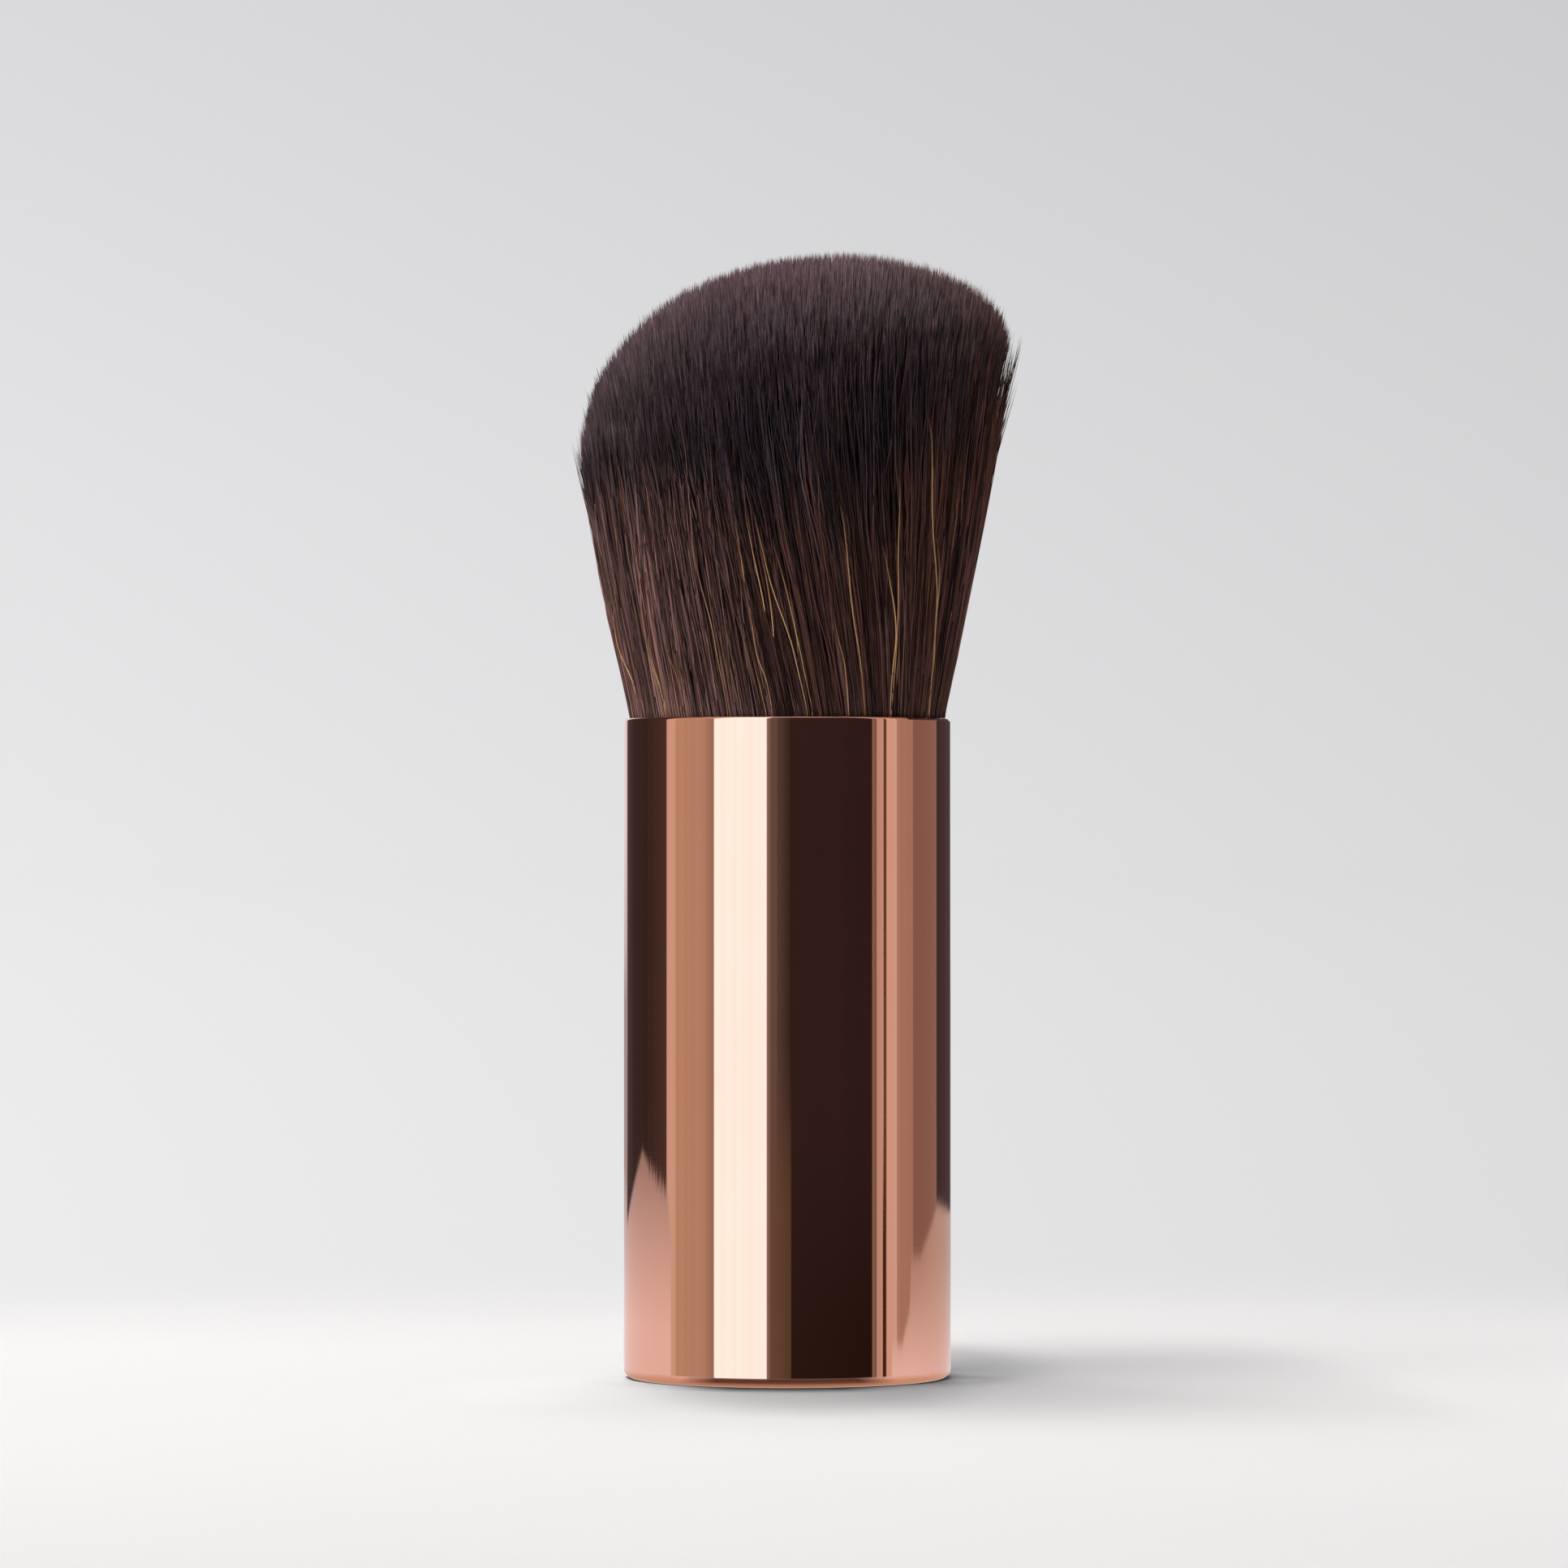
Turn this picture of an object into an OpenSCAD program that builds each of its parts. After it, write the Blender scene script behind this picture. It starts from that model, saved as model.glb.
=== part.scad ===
// Angled kabuki brush for self-tan: a rose-gold drawn metal handle, weighted and
// cored inside, holding a dense, flared fibre tuft that is cut to a slanted dome.
// Frame: the origin is the centre of the base face. +Z points up the handle to the
// tuft, +X to the side on which the tuft is tall, -Y to the front. Millimetres.

/* [Handle] */
// Outside diameter of the metal handle shell
handle_d = 34; // [30:0.5:40]
// Height of the shell, from the base face to the rim
handle_h = 68.5; // [64:0.5:80]
// Wall of the drawn shell
shell_wall = 0.6; // [0.4:0.1:0.8]
// Floor of the drawn shell
shell_floor = 0.8; // [0.6:0.1:1.2]
// Outer radius round the foot of the shell
foot_r = 1; // [0.6:0.1:1.6]

/* [Balance weight] */
// Diameter of the steel slug in the base
weight_d = 27; // [22:0.5:28]
// Thickness of the steel slug
weight_h = 9; // [6:0.5:12]
// Thickness of the double-sided foam tape under the slug
tape_t = 0.8; // [0.5:0.1:1.2]

/* [Core] */
// Wall of the moulded core
core_wall = 2; // [1.6:0.1:2.4]
// Thickness of the core's ribs
rib_t = 1.6; // [1.2:0.1:2.2]
// Number of ribs round the core's middle tube
rib_n = 8; // [8:1:10]
// Thickness of the lid that closes the core
lid_t = 2.4; // [2:0.1:3]

/* [Inner ferrule] */
// Depth of the cup that holds the fibre roots
ferrule_h = 16; // [13:0.5:18]
// Wall of the cup
ferrule_wall = 0.5; // [0.4:0.1:0.6]
// How far the cup's mouth sits below the handle's rim
ferrule_sink = 3; // [2.5:0.1:4]
// Depth of resin under the fibre roots
resin_h = 3.5; // [2.5:0.1:4]
// Thickness of the thread that binds the fibre roots
thread_d = 0.6; // [0.4:0.1:0.8]
// Turns of thread round the fibre roots
thread_turns = 5; // [3:1:6]

/* [Tuft] */
// Half the tuft's width at the line of its outermost tips
tuft_a = 22.5; // [20:0.1:24]
// Half the tuft's depth at the line of its outermost tips
tuft_b = 22; // [20:0.1:24]
// How far the tips' centre sits towards the tall side
tuft_lean = 0.9; // [0:0.1:2]
// Height above the rim of the outermost tips, half way across
tip_h = 33.2; // [28:0.1:38]
// How much higher the tips are on the tall side, and lower on the short side
tip_rise = 5.2; // [2:0.1:7]
// Height of the dome above the outermost tips
dome_h = 14.6; // [10:0.1:17]
// How much fuller the dome is towards the short side
dome_skew = 2.7; // [0:0.1:4]
// Turn of the fibres round the handle's axis from rim to tip, in degrees
swirl = -18; // [-25:1:0]

/* [Amber fibres] */
// Number of amber fibres in the tuft's outer layer
amber_n = 24; // [8:1:30]
// Diameter of an amber fibre
amber_d = 0.16; // [0.12:0.01:0.3]

/* [Hidden] */

$fn = 96;
fit = 0.1;                              // slip fit between nested parts, on the radius
handle_r = handle_d / 2;
bore_r = handle_r - shell_wall;         // inside of the shell
core_r = bore_r - fit;                  // outside of the core and of the cup
tape_z = shell_floor;
weight_z = tape_z + tape_t;
web_z = weight_z + weight_h + fit;      // underside of the core's web
web_t = 2;
ferrule_top = handle_h - ferrule_sink;
ferrule_z = ferrule_top - ferrule_h;    // underside of the cup
cup_r = core_r - ferrule_wall;          // inside of the cup
root_z = ferrule_z + ferrule_wall + resin_h;
root_r = cup_r - 0.1;                   // tuft inside the cup
bound_r = root_r - thread_d;            // tuft where the thread bites
bound_z0 = root_z + 1.5;
bound_z1 = bound_z0 + thread_turns * thread_d;
amber_gap = 0.04;                       // amber fibre to tuft
mouth_r = bore_r - amber_d - 0.09;      // tuft at the rim, clear of the amber fibres
bead_top = ferrule_top + 0.8;
tube_r = 4;                             // middle tube of the core

// Colours of the materials
ROSE_GOLD = [0.79, 0.49, 0.39];
STEEL = [0.55, 0.56, 0.58];
FOAM = [0.92, 0.92, 0.90];
ABS = [0.80, 0.79, 0.76];
ALUMINIUM = [0.80, 0.81, 0.83];
RESIN = [0.86, 0.74, 0.50];
THREAD = [0.88, 0.87, 0.84];
SEALANT = [0.70, 0.71, 0.72];
FIBRE = [0.20, 0.14, 0.13];
AMBER = [0.72, 0.50, 0.24];

// ---- shapes used more than once ------------------------------------------------

// A ring of wall from r0 to r1, from z0 to z1.
module ring(r0, r1, z0, z1) {
  difference() {
    translate([0, 0, z0]) cylinder(r = r1, h = z1 - z0);
    translate([0, 0, z0 - 1]) cylinder(r = r0, h = z1 - z0 + 2);
  }
}

// A disc.
module disc(r, z0, z1) {
  translate([0, 0, z0]) cylinder(r = r, h = z1 - z0);
}

// ---- handle --------------------------------------------------------------------

// Half section of the drawn shell: foot radius outside, a smaller one inside, and a
// rim rounded over the full wall.
module shell_section() {
  in_r = max(foot_r - shell_wall, 0.3);
  difference() {
    union() {
      square([handle_r - foot_r, handle_h - shell_wall / 2]);
      translate([0, foot_r])
        square([handle_r, handle_h - shell_wall / 2 - foot_r]);
      translate([handle_r - foot_r, foot_r]) intersection() {
        circle(r = foot_r);
        translate([-0.01, -foot_r]) square([foot_r + 0.01, foot_r + 0.01]);
      }
      translate([handle_r - shell_wall / 2, handle_h - shell_wall / 2])
        circle(r = shell_wall / 2);
    }
    translate([-1, shell_floor + in_r]) square([bore_r + 1, handle_h]);
    translate([-1, shell_floor]) square([bore_r - in_r + 1, in_r + 1]);
    translate([bore_r - in_r, shell_floor + in_r]) circle(r = in_r);
  }
}

module handle_shell() {
  color(ROSE_GOLD) rotate_extrude() intersection() {
    shell_section();
    square([handle_r + 1, handle_h + 1]);
  }
}

// ---- balance weight ------------------------------------------------------------

module weight_tape() {
  color(FOAM) disc(weight_d / 2 - 1.5, tape_z, weight_z);
}

// The slug has a small chamfer on both edges, so that it drops into the core.
module base_weight() {
  c = 0.6;
  r = weight_d / 2;
  color(STEEL) rotate_extrude() polygon([
    [0, weight_z], [r - c, weight_z], [r, weight_z + c],
    [r, weight_z + weight_h - c], [r - c, weight_z + weight_h],
    [0, weight_z + weight_h]
  ]);
}

// ---- core ----------------------------------------------------------------------

// Moulded core: a skirt round the weight, a web over it, and a ribbed body above,
// with a rebate for the lid that the ferrule cup stands on.
module core_body() {
  skirt_r = weight_d / 2 + fit;
  pocket_r = core_r - core_wall;
  lead = 0.8;                           // the foot clears the shell's inner radius
  color(ABS) difference() {
    union() {
      disc(core_r - lead, shell_floor, shell_floor + lead + 0.01);
      disc(core_r, shell_floor + lead, ferrule_z);
    }
    disc(skirt_r, shell_floor - 1, web_z);
    // sectors between the ribs
    difference() {
      ring(tube_r, pocket_r, web_z + web_t, ferrule_z - lid_t + 0.01);
      for (i = [0 : rib_n - 1]) rotate(i * 360 / rib_n)
        translate([0, -rib_t / 2, web_z])
          cube([core_r, rib_t, handle_h]);
    }
    disc(tube_r - 1.6, web_z + web_t, ferrule_z - lid_t + 0.01);
    disc(pocket_r + 0.8, ferrule_z - lid_t, ferrule_z + 1);
  }
}

// Lid over the ribs. Its peg centres it in the core's middle tube.
module core_lid() {
  r = core_r - core_wall + 0.8 - fit;
  color(ABS) union() {
    disc(r, ferrule_z - lid_t, ferrule_z);
    disc(tube_r - 1.6 - fit, ferrule_z - lid_t - 5, ferrule_z - lid_t + 0.5);
  }
}

// ---- ferrule and roots ---------------------------------------------------------

// Drawn cup with a hole in its floor, through which the resin is poured.
module ferrule_cup() {
  color(ALUMINIUM) difference() {
    disc(core_r, ferrule_z, ferrule_top);
    disc(cup_r, ferrule_z + ferrule_wall, ferrule_top + 1);
    disc(2.5, ferrule_z - 1, ferrule_z + 1);
  }
}

// Resin puck under the roots. A stub of it fills the hole in the cup's floor.
module root_resin() {
  color(RESIN) union() {
    disc(cup_r, ferrule_z + ferrule_wall, root_z);
    disc(2.5, ferrule_z, ferrule_z + ferrule_wall + 0.2);
  }
}

// Turns of thread side by side round the roots.
module binding_thread() {
  r = thread_d / 2;
  color(THREAD) rotate_extrude() union() {
    for (i = [0 : thread_turns - 1])
      translate([bound_r + r + 0.02, bound_z0 + r + i * thread_d])
        circle(r = r - 0.01, $fn = 24);
    translate([bound_r + 0.12, bound_z0 + r])
      square([thread_d * 0.5, (thread_turns - 1) * thread_d]);
  }
}

// Bead of sealant on the cup's edge, which keeps liquid out of the handle.
module rim_seal_bead() {
  color(SEALANT) ring(cup_r + 0.05, bore_r, ferrule_top, bead_top);
}

// ---- tuft ----------------------------------------------------------------------

// Height of the outermost tips above the rim, at angle a.
function edge_h(a) = tip_h + tip_rise * cos(a);

// Point on the tuft's flared side at angle a, a share t of the way from rim to tip.
// The fibres leave the rim a little steeper than they run higher up.
function side_at(a, t) =
  let (s = t + 0.045 * sin(180 * t),
       x = mouth_r * cos(a) * (1 - s) + (tuft_lean + tuft_a * cos(a)) * s,
       y = mouth_r * sin(a) * (1 - s) + tuft_b * sin(a) * s)
  [x, y, handle_h + edge_h(a) * t];

// Point on the domed top at angle a. e runs from 0 at the outermost tips to 90 at
// the middle.
function dome_at(a, e) =
  let (q = cos(e), u = q * cos(a))
  [tuft_lean + tuft_a * u,
   tuft_b * q * sin(a),
   handle_h + tip_h + tip_rise * u + sin(e) * (dome_h - dome_skew * u)];

// The same surfaces as [angle] rings from the roots up, then the point on top.
tuft_seg = 40;
tuft_rings = concat(
  [for (q = [[bound_r, root_z], [bound_r, bound_z1 + 0.05],
             [root_r, bound_z1 + 0.7], [root_r, ferrule_top + 0.1],
             [root_r - 0.02, ferrule_top + 0.9]])
    [for (i = [0 : tuft_seg - 1]) let (a = i * 360 / tuft_seg)
      [q[0] * cos(a), q[0] * sin(a), q[1]]]],
  [for (t = [0, 0.12, 0.3, 0.5, 0.7, 0.86, 1])
    [for (i = [0 : tuft_seg - 1]) side_at(i * 360 / tuft_seg, t)]],
  [for (e = [10, 20, 31, 42, 54, 66, 78])
    [for (i = [0 : tuft_seg - 1]) dome_at(i * 360 / tuft_seg, e)]]
);

// Closes a list of rings of n points into one solid, with a point at each end.
module loft(rings, low, high) {
  n = len(rings[0]);
  m = len(rings);
  pts = concat([for (r = rings) for (p = r) p], [low, high]);
  polyhedron(
    points = pts,
    faces = concat(
      [for (k = [0 : m - 2]) for (i = [0 : n - 1]) let (j = (i + 1) % n)
        [k * n + i, (k + 1) * n + i, (k + 1) * n + j]],
      [for (k = [0 : m - 2]) for (i = [0 : n - 1]) let (j = (i + 1) % n)
        [k * n + i, (k + 1) * n + j, k * n + j]],
      [for (i = [0 : n - 1]) [i, (i + 1) % n, m * n]],
      [for (i = [0 : n - 1]) [(m - 1) * n + (i + 1) % n, (m - 1) * n + i, m * n + 1]]
    )
  );
}

module bristle_tuft() {
  color(FIBRE) loft(tuft_rings, [0, 0, root_z], dome_at(0, 90));
}

// One amber fibre: a thin tapered tube. It stands in the bead of sealant, passes
// between tuft and rim, and lies on the tuft's side from there, turning with the
// swirl.
module amber_fibre(a, reach) {
  sides = 6;
  steps = 6;
  // ring of radius r round point p, in the upright plane and across it at angle b
  ring_round = function (p, b, r)
    [for (k = [0 : sides - 1]) let (w = k * 360 / sides)
      p + [cos(b), sin(b), 0] * r * cos(w) + [-sin(b), cos(b), 0] * r * sin(w)];
  on_side = function (t)
    let (b = a + swirl * t, lift = amber_d / 2 + amber_gap)
    ring_round(side_at(b, t) + [cos(b), sin(b), 0] * lift, b,
               amber_d / 2 * (1 - 0.6 * t / reach));
  foot = [(mouth_r - 0.1) * cos(a), (mouth_r - 0.1) * sin(a), bead_top];
  rings = concat([ring_round(foot, a, amber_d / 2)],
                 [for (i = [0 : steps]) on_side(reach * i / steps)]);
  mid = function (r) (r[0] + r[sides / 2]) / 2;
  loft(rings, mid(rings[0]), mid(rings[steps + 1]));
}

// The fibres are scattered round the tuft by the golden angle.
module amber_fibres() {
  color(AMBER) for (i = [0 : amber_n - 1])
    amber_fibre(i * 137.5, 0.45 + 0.4 * ((i * 7) % 11) / 11);
}

handle_shell();
weight_tape();
base_weight();
core_body();
core_lid();
ferrule_cup();
root_resin();
binding_thread();
rim_seal_bead();
bristle_tuft();
amber_fibres();
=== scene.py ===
"""Looks of an angled kabuki brush: polished rose-gold shell, dense fibre tuft.

Lengths inside this file are in millimetres until they reach a mesh, which is in
metres. +Z is up the handle, -Y is the front, +X is the tuft's tall side.
"""
import math

import bpy
import numpy as np
from mathutils import Matrix, Vector


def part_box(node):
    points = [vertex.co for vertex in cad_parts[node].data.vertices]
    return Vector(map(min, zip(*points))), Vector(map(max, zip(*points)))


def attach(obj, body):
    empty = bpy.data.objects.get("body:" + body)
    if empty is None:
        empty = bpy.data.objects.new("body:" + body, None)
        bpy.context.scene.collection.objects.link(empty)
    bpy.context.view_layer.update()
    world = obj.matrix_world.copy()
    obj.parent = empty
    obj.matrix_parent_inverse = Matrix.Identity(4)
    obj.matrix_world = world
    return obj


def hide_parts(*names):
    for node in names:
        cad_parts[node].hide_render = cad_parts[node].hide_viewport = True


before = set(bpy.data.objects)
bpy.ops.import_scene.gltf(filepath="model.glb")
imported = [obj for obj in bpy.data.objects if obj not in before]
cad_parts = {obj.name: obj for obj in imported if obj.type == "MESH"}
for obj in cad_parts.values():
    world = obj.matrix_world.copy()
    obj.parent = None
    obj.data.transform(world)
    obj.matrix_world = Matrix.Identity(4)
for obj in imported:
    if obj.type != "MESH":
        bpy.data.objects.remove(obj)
bpy.context.view_layer.update()

MM = 0.001
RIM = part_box("handle_shell")[1].z / MM      # height of the shell's rim
SHELL_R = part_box("handle_shell")[1].x / MM
MOUTH = SHELL_R - 0.72                      # fibres pass the rim inside this radius

# The tuft's outer shape, as in the construction: the outermost tips lie on a slanted
# ellipse, and the dome rises from it.
TIP_A, TIP_B, LEAN = 22.5, 21.9, 0.9
TIP_H, RISE = 33.2, 5.3
DOME, SKEW = 14.9, 2.4

scene = bpy.context.scene
scene.view_settings.view_transform = "Standard"
scene.view_settings.look = "None"
scene.view_settings.exposure = 0.0
scene.view_settings.gamma = 1.0
# fine fibres keep their detail in the picture
scene.cycles.denoising_prefilter = "NONE"


# ---------------------------------------------------------------- small helpers

def smooth(a, b, x):
    """0 below a, 1 above b, smooth between."""
    t = np.clip((np.asarray(x, float) - a) / (b - a), 0.0, 1.0)
    return t * t * (3 - 2 * t)


def lin(r, g, b):
    """Linear colour of an sRGB one given from 0 to 255."""
    def one(c):
        c /= 255.0
        return c / 12.92 if c <= 0.04045 else ((c + 0.055) / 1.055) ** 2.4
    return (one(r), one(g), one(b), 1.0)


class Nodes:
    """Short way to build a node tree."""

    def __init__(self, name, world=None):
        self.mat = world or bpy.data.materials.new(name)
        self.mat.use_nodes = True
        self.tree = self.mat.node_tree
        self.tree.nodes.clear()
        self.out = self.add("OutputWorld" if world else "OutputMaterial")

    def add(self, kind, **props):
        node = self.tree.nodes.new("ShaderNode" + kind)
        for k, v in props.items():
            setattr(node, k, v)
        return node

    def link(self, a, b):
        self.tree.links.new(a, b)

    def put(self, socket, value):
        if hasattr(value, "is_linked") or hasattr(value, "links"):
            self.link(value, socket)
        else:
            socket.default_value = value

    def math(self, op, a, b=0.0, c=None, clamp=False):
        n = self.add("Math", operation=op, use_clamp=clamp)
        self.put(n.inputs[0], a)
        self.put(n.inputs[1], b)
        if c is not None:
            self.put(n.inputs[2], c)
        return n.outputs[0]

    def mix(self, fac, a, b, blend="MIX"):
        n = self.add("Mix", data_type="RGBA", blend_type=blend)
        self.put(n.inputs["Factor"], fac)
        self.put(n.inputs[6], a)
        self.put(n.inputs[7], b)
        return n.outputs[2]

    def ramp(self, fac, stops, mode="LINEAR"):
        n = self.add("ValToRGB")
        n.color_ramp.interpolation = mode
        els = n.color_ramp.elements
        while len(els) < len(stops):
            els.new(0.5)
        for e, (p, c) in zip(els, stops):
            e.position = p
            e.color = c if len(c) == 4 else (*c, 1.0)
        self.put(n.inputs[0], fac)
        return n.outputs[0]

    def span(self, value, a, b, c, d):
        n = self.add("MapRange")
        self.put(n.inputs["Value"], value)
        for k, v in (("From Min", a), ("From Max", b), ("To Min", c), ("To Max", d)):
            n.inputs[k].default_value = v
        return n.outputs[0]

    def noise(self, scale, detail=2.0, rough=0.5, vector=None, dims="3D"):
        n = self.add("TexNoise", noise_dimensions=dims)
        n.inputs["Scale"].default_value = scale
        n.inputs["Detail"].default_value = detail
        n.inputs["Roughness"].default_value = rough
        if vector is not None:
            self.link(vector, n.inputs["Vector"])
        return n.outputs["Fac"]

    def position(self, scale=(1, 1, 1)):
        """Object coordinates, stretched."""
        c = self.add("TexCoord").outputs["Object"]
        m = self.add("Mapping")
        m.inputs["Scale"].default_value = scale
        self.link(c, m.inputs["Vector"])
        return m.outputs["Vector"]

    def principled(self, **values):
        p = self.add("BsdfPrincipled")
        for k, v in values.items():
            self.put(p.inputs[k.replace("_", " ")], v)
        self.link(p.outputs["BSDF"], self.out.inputs["Surface"])
        return p


def give(obj, mat):
    """obj's only material."""
    if not obj.data.materials:
        obj.data.materials.append(mat)
    for i in range(len(obj.data.materials)):
        obj.data.materials[i] = mat
    for slot in obj.material_slots:
        slot.material = mat


# ---------------------------------------------------------------- materials

def metal_shell():
    n = Nodes("rose_gold_polished")
    pos = n.position()
    cloud = n.noise(60.0, 3.0, 0.5, pos)
    tone = n.mix(n.span(cloud, 0.3, 0.7, 0.0, 1.0),
                 (0.880, 0.500, 0.375, 1), (0.865, 0.478, 0.355, 1))
    # the polish: fine lines round the handle, and a few faint smears
    rings = n.noise(1.0, 4.0, 0.6, n.position((120, 120, 9000)))
    smear = n.noise(1.0, 2.0, 0.5, n.position((70, 70, 25)))
    rough = n.math("ADD", n.span(rings, 0.35, 0.7, 0.020, 0.045),
                   n.span(smear, 0.52, 0.75, 0.0, 0.03))
    n.principled(Base_Color=tone, Metallic=1.0, Roughness=rough)
    return n.mat


def plain_moulded(name, colour, rough, grain=900.0, metallic=0.0):
    """A hidden piece: its colour with a fine grain, and bump from the same grain."""
    n = Nodes(name)
    pos = n.position()
    g = n.noise(grain, 3.0, 0.6, pos)
    dark = tuple(c * 0.88 for c in colour) + (1,)
    tone = n.mix(g, dark, tuple(colour) + (1,))
    p = n.principled(Base_Color=tone, Metallic=metallic,
                     Roughness=n.span(g, 0.2, 0.8, rough - 0.06, rough + 0.08))
    b = n.add("Bump")
    b.inputs["Strength"].default_value = 0.15
    b.inputs["Distance"].default_value = 0.0001
    n.link(g, b.inputs["Height"])
    n.link(b.outputs["Normal"], p.inputs["Normal"])
    return n.mat


CLASSES = 64                   # columns of the fibres' colour map
GOLDEN = 0.618034              # a column's brightness goes by the fraction of this times it


def fibre_material(name, ramps, light, rough, gloss):
    """Colour of a fibre from its own map alone. The column gives the fibre's tone, and
    the row runs from its tip to its root. ramps are (first column, stops), and light
    is how bright the fibres are, from the least to the most: tone that differs from
    fibre to fibre, and painted shade where the columns are picked by how deep the
    fibres lie."""
    n = Nodes(name)
    uv = n.add("UVMap", uv_map="OFBake").outputs[0]
    sep = n.add("SeparateXYZ")
    n.link(uv, sep.inputs[0])
    u, v = sep.outputs[0], sep.outputs[1]
    column = n.math("FLOOR", n.math("MULTIPLY", u, float(CLASSES)))
    white = n.add("TexWhiteNoise", noise_dimensions="1D")
    n.link(column, white.inputs["W"])
    rnd = n.add("SeparateColor")
    n.link(white.outputs["Color"], rnd.inputs[0])
    # row, shifted a little from fibre to fibre so that the bands of colour blend
    along = n.math("ADD", v, n.span(rnd.outputs[2], 0, 1, -0.02, 0.02), clamp=True)
    colour = None
    for first, stops in ramps:
        one = n.ramp(along, stops)
        if colour is None:
            colour = one
        else:
            colour = n.mix(n.math("GREATER_THAN", column, first - 0.5), colour, one)
    # streaks along the fibre
    st = n.add("CombineXYZ")
    n.link(n.math("MULTIPLY", column, 7.31), st.inputs[0])
    n.link(n.math("MULTIPLY", v, 22.0), st.inputs[1])
    streak = n.noise(1.0, 2.0, 0.6, st.outputs[0])
    shares = [i / (len(light) - 1) for i in range(len(light))]
    # a column's brightness rank: random tone, and painted shade where the column was picked by
    # depth
    lit = n.math("FRACT", n.math("MULTIPLY", column, GOLDEN))
    level = n.ramp(lit, [(a, (b / 2, b / 2, b / 2)) for a, b in zip(shares, light)])
    one = n.add("SeparateColor")
    n.link(level, one.inputs[0])
    gain = n.math("MULTIPLY", n.math("MULTIPLY", one.outputs[0], 2.0),
                  n.span(streak, 0.25, 0.75, 0.84, 1.16))
    grey = n.add("CombineXYZ")
    for k in range(3):
        n.link(gain, grey.inputs[k])
    colour = n.mix(1.0, colour, grey.outputs[0], "MULTIPLY")
    p = n.principled(Base_Color=colour, Metallic=0.0,
                     Roughness=n.span(rnd.outputs[1], 0, 1, rough[0], rough[1]))
    p.inputs["Specular IOR Level"].default_value = gloss
    return n.mat


# Rows of the colour map: the light tip ends at 0.15, the black stretch at 0.4, and the
# brown is full from 0.6.
TIP = (0.102, 0.062, 0.073)
NEAR_TIP = (0.069, 0.0415, 0.0495)
MID = (0.045, 0.0305, 0.0390)
LOW = (0.112, 0.0480, 0.0390)
ROOT = (0.116, 0.0500, 0.0410)
MAIN_STOPS = [(0.0, TIP), (0.04, NEAR_TIP), (0.08, (0.065, 0.0395, 0.0470)),
              (0.15, (0.045, 0.0295, 0.0370)), (0.22, MID), (0.38, MID),
              (0.50, (0.062, 0.0325, 0.031)), (0.62, LOW), (1.0, ROOT)]
WARM_STOPS = [(0.0, (0.102, 0.065, 0.069)), (0.04, (0.070, 0.042, 0.043)),
              (0.15, (0.056, 0.0330, 0.0345)), (0.25, (0.056, 0.0310, 0.0290)),
              (0.38, (0.066, 0.0310, 0.0245)), (0.55, (0.092, 0.0355, 0.0235)),
              (1.0, (0.096, 0.0375, 0.0250))]
# painted rim light: the edge columns are brighter and warmer than the main ones
PAINTED_RIM_LIGHT_STOPS = [(0.0, (0.118, 0.074, 0.079)), (0.15, (0.080, 0.0460, 0.0440)),
              (0.38, (0.190, 0.0800, 0.0590)), (0.60, (0.235, 0.0930, 0.0650)),
              (1.0, (0.180, 0.0720, 0.0500))]
# painted light: the soft columns, for the short side, are lighter than the main ones and stand
# for light from the left
PAINTED_LEFT_LIGHT_STOPS = [(0.0, (0.100, 0.060, 0.071)), (0.04, (0.070, 0.0425, 0.050)),
              (0.15, (0.064, 0.0400, 0.0455)), (0.38, (0.069, 0.0435, 0.0480)),
              (0.50, (0.128, 0.070, 0.066)), (0.62, (0.245, 0.122, 0.107)),
              (1.0, (0.308, 0.152, 0.130))]
PALE_STOPS = [(0.0, (0.165, 0.110, 0.123)), (0.05, (0.120, 0.079, 0.089)),
              (0.15, (0.070, 0.049, 0.056)), (0.38, (0.058, 0.038, 0.042)),
              (0.58, (0.140, 0.080, 0.072)), (1.0, (0.190, 0.105, 0.092))]


def dark_core():
    """Matted fibre under the visible ones, near black as painted shade between the fibres,
    with streaks that run up the tuft.
    """
    n = Nodes("fibre_core_painted_shade")
    pos = n.position((1800, 1800, 90))
    s = n.noise(1.0, 3.0, 0.65, pos)
    tone = n.ramp(s, [(0.3, (0.006, 0.004, 0.0045)), (0.55, (0.016, 0.010, 0.010)),
                      (0.75, (0.030, 0.018, 0.017))])
    p = n.principled(Base_Color=tone, Roughness=n.span(s, 0.2, 0.8, 0.6, 0.85))
    b = n.add("Bump")
    b.inputs["Strength"].default_value = 0.6
    b.inputs["Distance"].default_value = 0.0003
    n.link(s, b.inputs["Height"])
    n.link(b.outputs["Normal"], p.inputs["Normal"])
    return n.mat


# ---------------------------------------------------------------- tuft geometry

def swirl(th):
    """Turn of the fibres from rim to tip, in radians: front and back both lean
    towards the short side, most of all just right of the middle."""
    d = np.degrees(np.arctan2(np.sin(th), np.cos(th)))
    lobe = np.exp(-0.5 * ((d - 68) / 29) ** 2) - np.exp(-0.5 * ((d + 68) / 29) ** 2)
    return np.radians(4.5 * np.sin(th) + 17.5 * lobe)


def tip_at(rho, th):
    """Tip of the fibre that is rooted at share rho of the radius and angle th."""
    th2 = th + swirl(th) * rho ** 1.4
    u = rho * np.cos(th2)
    h = TIP_H + RISE * u + np.sqrt(np.clip(1 - rho ** 2, 0, 1)) * (DOME - SKEW * u) \
        + 0.3 * np.exp(-0.5 * ((u + 0.6) / 0.16) ** 2)
    return (th2, LEAN + TIP_A * u, TIP_B * rho * np.sin(th2), h)


START = -2.4                   # fibres begin this far below the rim


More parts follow.
